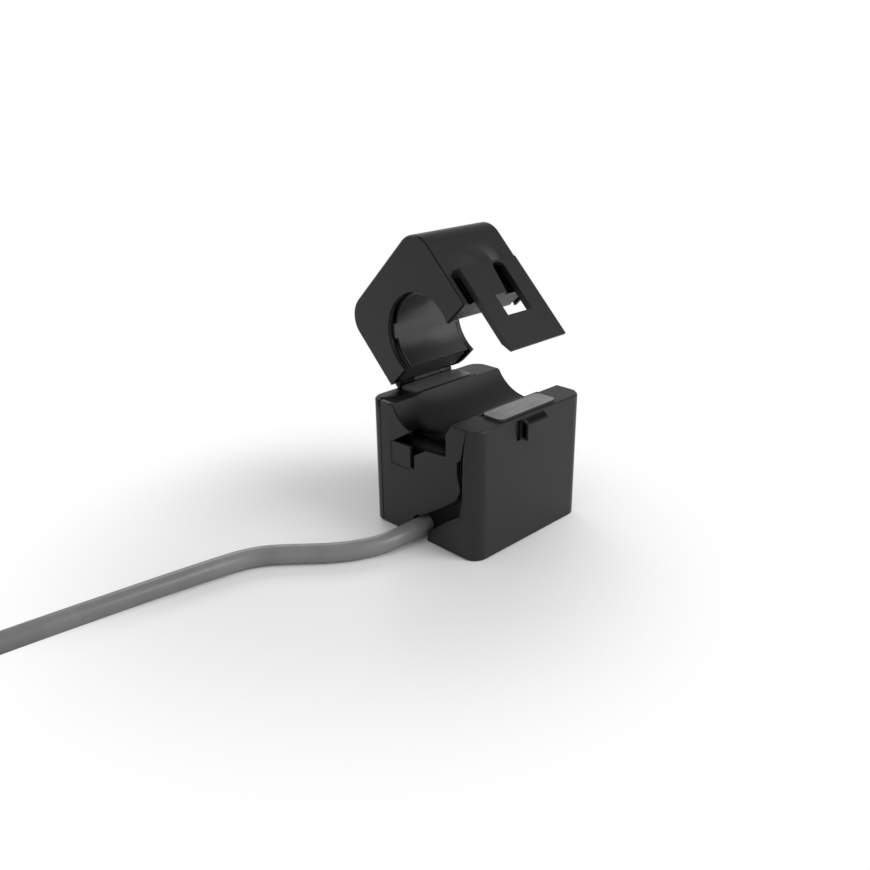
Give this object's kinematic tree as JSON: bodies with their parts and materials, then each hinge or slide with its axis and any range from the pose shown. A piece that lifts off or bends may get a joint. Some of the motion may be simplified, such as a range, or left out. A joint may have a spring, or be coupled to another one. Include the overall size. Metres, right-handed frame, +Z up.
{
  "type": "current transformer",
  "caption": "Split-core current transformer with a hinged lid, sprung latch tongue, U-shaped core halves and a grey two-core lead.",
  "frame": {"origin": "centre of the base's underside", "axes": "+Z up out of the base, +X from the hinge to the catch, +Y along the conductor window, away from the lead"},
  "size_m": [0.0497, 0.178, 0.054],
  "materials": {
    "housing_black": "satin moulded black",
    "cover_black": "satin moulded black",
    "liner_black": "smooth black",
    "core_metal": "ground pole faces",
    "bobbin_nylon": "black nylon",
    "copper_winding": "enamelled copper",
    "black_tape": "wound tape",
    "tinned_metal": "tinned",
    "board_green": "solder mask",
    "resistor_body": "lacquer",
    "diode_body": "moulded",
    "foam_pad": "closed-cell foam",
    "wire_white": "smooth",
    "wire_black": "smooth",
    "pin_steel": "drawn",
    "spring_steel": "rolled",
    "jacket_grey": "smooth grey jacket",
    "tie_black": "nylon"
  },
  "bodies": {
    "base": {"base_housing": "housing_black", "front_cover": "cover_black", "base_plate": "housing_black", "lower_core": "core_metal", "bobbin": "bobbin_nylon", "secondary_winding": "copper_winding", "winding_tape": "black_tape", "terminal_pins": "tinned_metal", "circuit_board": "board_green", "burden_resistor": "resistor_body", "protection_diode": "diode_body", "core_pad": "foam_pad", "cable_clamp": "cover_black", "inner_wire_white": "wire_white", "inner_wire_black": "wire_black", "hinge_pin": "pin_steel", "signal_cable": "jacket_grey", "cable_coil": "jacket_grey", "coil_tie": "tie_black", "end_wire_white": "wire_white", "end_wire_black": "wire_black", "tinned_tips": "tinned_metal"},
    "lid": {"lid_housing": "housing_black", "lid_liner": "liner_black", "upper_core": "core_metal", "core_spring": "spring_steel", "latch_tongue": "housing_black"}
  },
  "joints": [
    {"name": "lid_hinge", "type": "hinge", "parent": "base", "child": "lid", "pos_m": [-0.0139, 0, 0.025], "axis": [0, -1, 0], "range_deg": [-45, 50], "deforming": ["latch_tongue"]}
  ]
}
